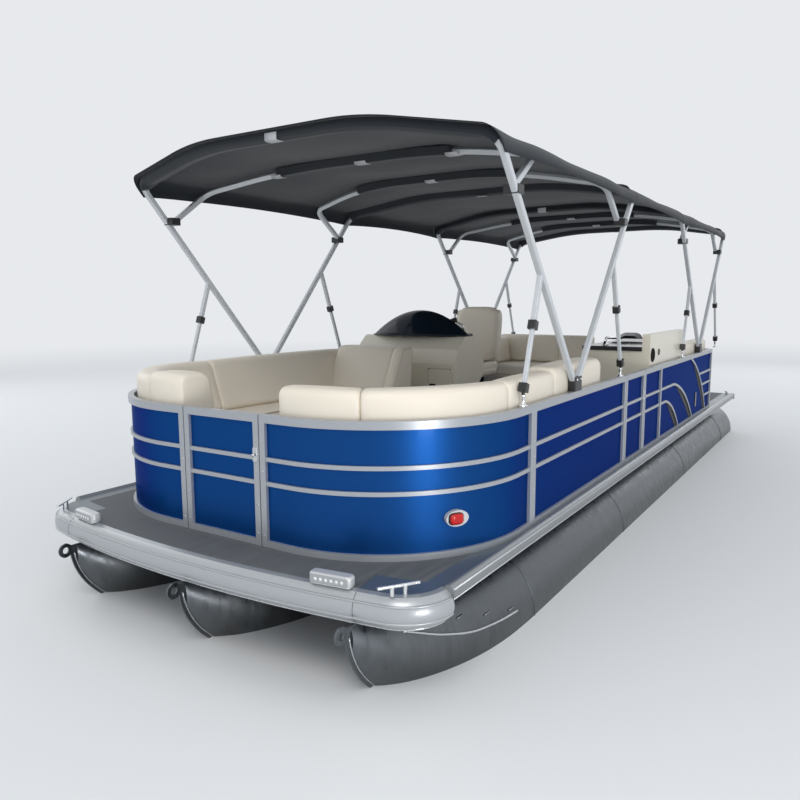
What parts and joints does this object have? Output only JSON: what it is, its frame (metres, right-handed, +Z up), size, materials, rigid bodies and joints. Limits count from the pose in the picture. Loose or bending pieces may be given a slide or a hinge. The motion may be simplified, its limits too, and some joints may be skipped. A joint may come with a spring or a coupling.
{
  "type": "pontoon boat",
  "caption": "Aluminium pontoon boat on tubular floats, with a fenced deck, lounges, a helm, folding shade tops and a tilting outboard motor.",
  "frame": {"origin": "under the middle of the boat's overall length and beam, at the bottom of the keels", "axes": "+X to the bow, +Y to port, +Z up"},
  "size_m": [8.8008, 2.57, 2.8143],
  "materials": {
    "tube_metal": "satin bare sheet",
    "frame_metal": "satin anodised",
    "nose_metal": "satin grey",
    "deck_cover": "textured vinyl",
    "fence_blue": "gloss",
    "vinyl_beige": "smooth coated",
    "moulding_beige": "satin",
    "black_plastic": "fine grain",
    "counter_black": "gloss",
    "smoke_screen": "gloss",
    "canvas": "woven",
    "top_white": "satin",
    "motor_black": "gloss",
    "motor_metal": "satin",
    "chrome": "polished"
  },
  "bodies": {
    "hull": {"tube_port": "tube_metal", "tube_center": "tube_metal", "tube_starboard": "tube_metal", "cross_members": "tube_metal", "deck_board": "deck_cover", "bow_fascia": "nose_metal", "bow_corner_caps": "nose_metal", "side_rails": "nose_metal", "stern_rail": "nose_metal", "fence_bow_port": "frame_metal", "fence_bow_starboard": "frame_metal", "fence_port_forward": "frame_metal", "fence_port_aft": "frame_metal", "fence_starboard": "frame_metal", "fence_stern": "frame_metal", "fence_panels": "fence_blue", "bow_lounge_bases": "moulding_beige", "bow_lounge_seats": "vinyl_beige", "bow_lounge_backs": "vinyl_beige", "chaise_back": "vinyl_beige", "helm_console": "moulding_beige", "windscreen": "smoke_screen", "helm_pedestal": "chrome", "galley_cabinet": "moulding_beige", "galley_counter": "counter_black", "stern_lounge_bases": "moulding_beige", "stern_lounge_seats": "vinyl_beige", "stern_lounge_backs": "vinyl_beige", "top_frame_front": "top_white", "top_frame_rear": "top_white", "top_fittings": "black_plastic", "canopy_front": "canvas", "canopy_bridge": "canvas", "canopy_rear": "canvas", "motor_pod": "tube_metal", "motor_bracket": "motor_metal", "cleats": "chrome", "lamps": "chrome"},
    "bow_gate": {"bow_gate_frame": "frame_metal", "bow_gate_panel": "fence_blue"},
    "side_gate": {"side_gate_frame": "frame_metal", "side_gate_panel": "fence_blue"},
    "stern_gate": {"stern_gate_frame": "frame_metal", "stern_gate_panel": "fence_blue"},
    "console_door": {"console_door": "moulding_beige"},
    "wheel": {"steering_wheel": "black_plastic"},
    "helm_chair": {"helm_chair_seat": "vinyl_beige", "helm_chair_back": "vinyl_beige"},
    "motor_tilt_part": {"motor_swivel": "motor_metal"},
    "motor_steer_part": {"motor_leg": "motor_metal", "motor_cowl": "motor_black", "engine_block": "motor_metal"},
    "propeller_part": {"propeller": "chrome"}
  },
  "joints": [
    {"name": "bow_gate_hinge", "type": "hinge", "parent": "hull", "child": "bow_gate", "pos_m": [4.0013, -0.258, 1.1], "axis": [0, 0, 1], "range_deg": [0, 90]},
    {"name": "side_gate_hinge", "type": "hinge", "parent": "hull", "child": "side_gate", "pos_m": [0.9393, 1.188, 1.1], "axis": [0, 0, -1], "range_deg": [0, 90]},
    {"name": "stern_gate_hinge", "type": "hinge", "parent": "hull", "child": "stern_gate", "pos_m": [-1.7807, 0.057, 1.1], "axis": [0, 0, -1], "range_deg": [0, 90]},
    {"name": "console_door_hinge", "type": "hinge", "parent": "hull", "child": "console_door", "pos_m": [1.3693, -0.201, 1.2], "axis": [0, 0, 1], "range_deg": [0, 100]},
    {"name": "steering", "type": "hinge", "parent": "hull", "child": "wheel", "pos_m": [0.8603, -0.66, 1.612], "axis": [-0.809, 0, 0.5878], "range_deg": [-540, 540]},
    {"name": "chair_swivel", "type": "hinge", "parent": "hull", "child": "helm_chair", "pos_m": [0.3003, -0.62, 1.217], "axis": [0, 0, 1], "continuous": true},
    {"name": "motor_tilt", "type": "hinge", "parent": "hull", "child": "motor_tilt_part", "pos_m": [-3.3597, 0, 0.782], "axis": [0, 1, 0], "range_deg": [-60, 0]},
    {"name": "motor_steer", "type": "hinge", "parent": "motor_tilt_part", "child": "motor_steer_part", "pos_m": [-3.5013, 0, 0.82726], "axis": [0.866, 0, 0.5], "range_deg": [-30, 30]},
    {"name": "propeller_spin", "type": "hinge", "parent": "motor_steer_part", "child": "propeller_part", "pos_m": [-4.22883, 0, 0.81137], "axis": [0.5, 0, -0.866], "continuous": true}
  ]
}
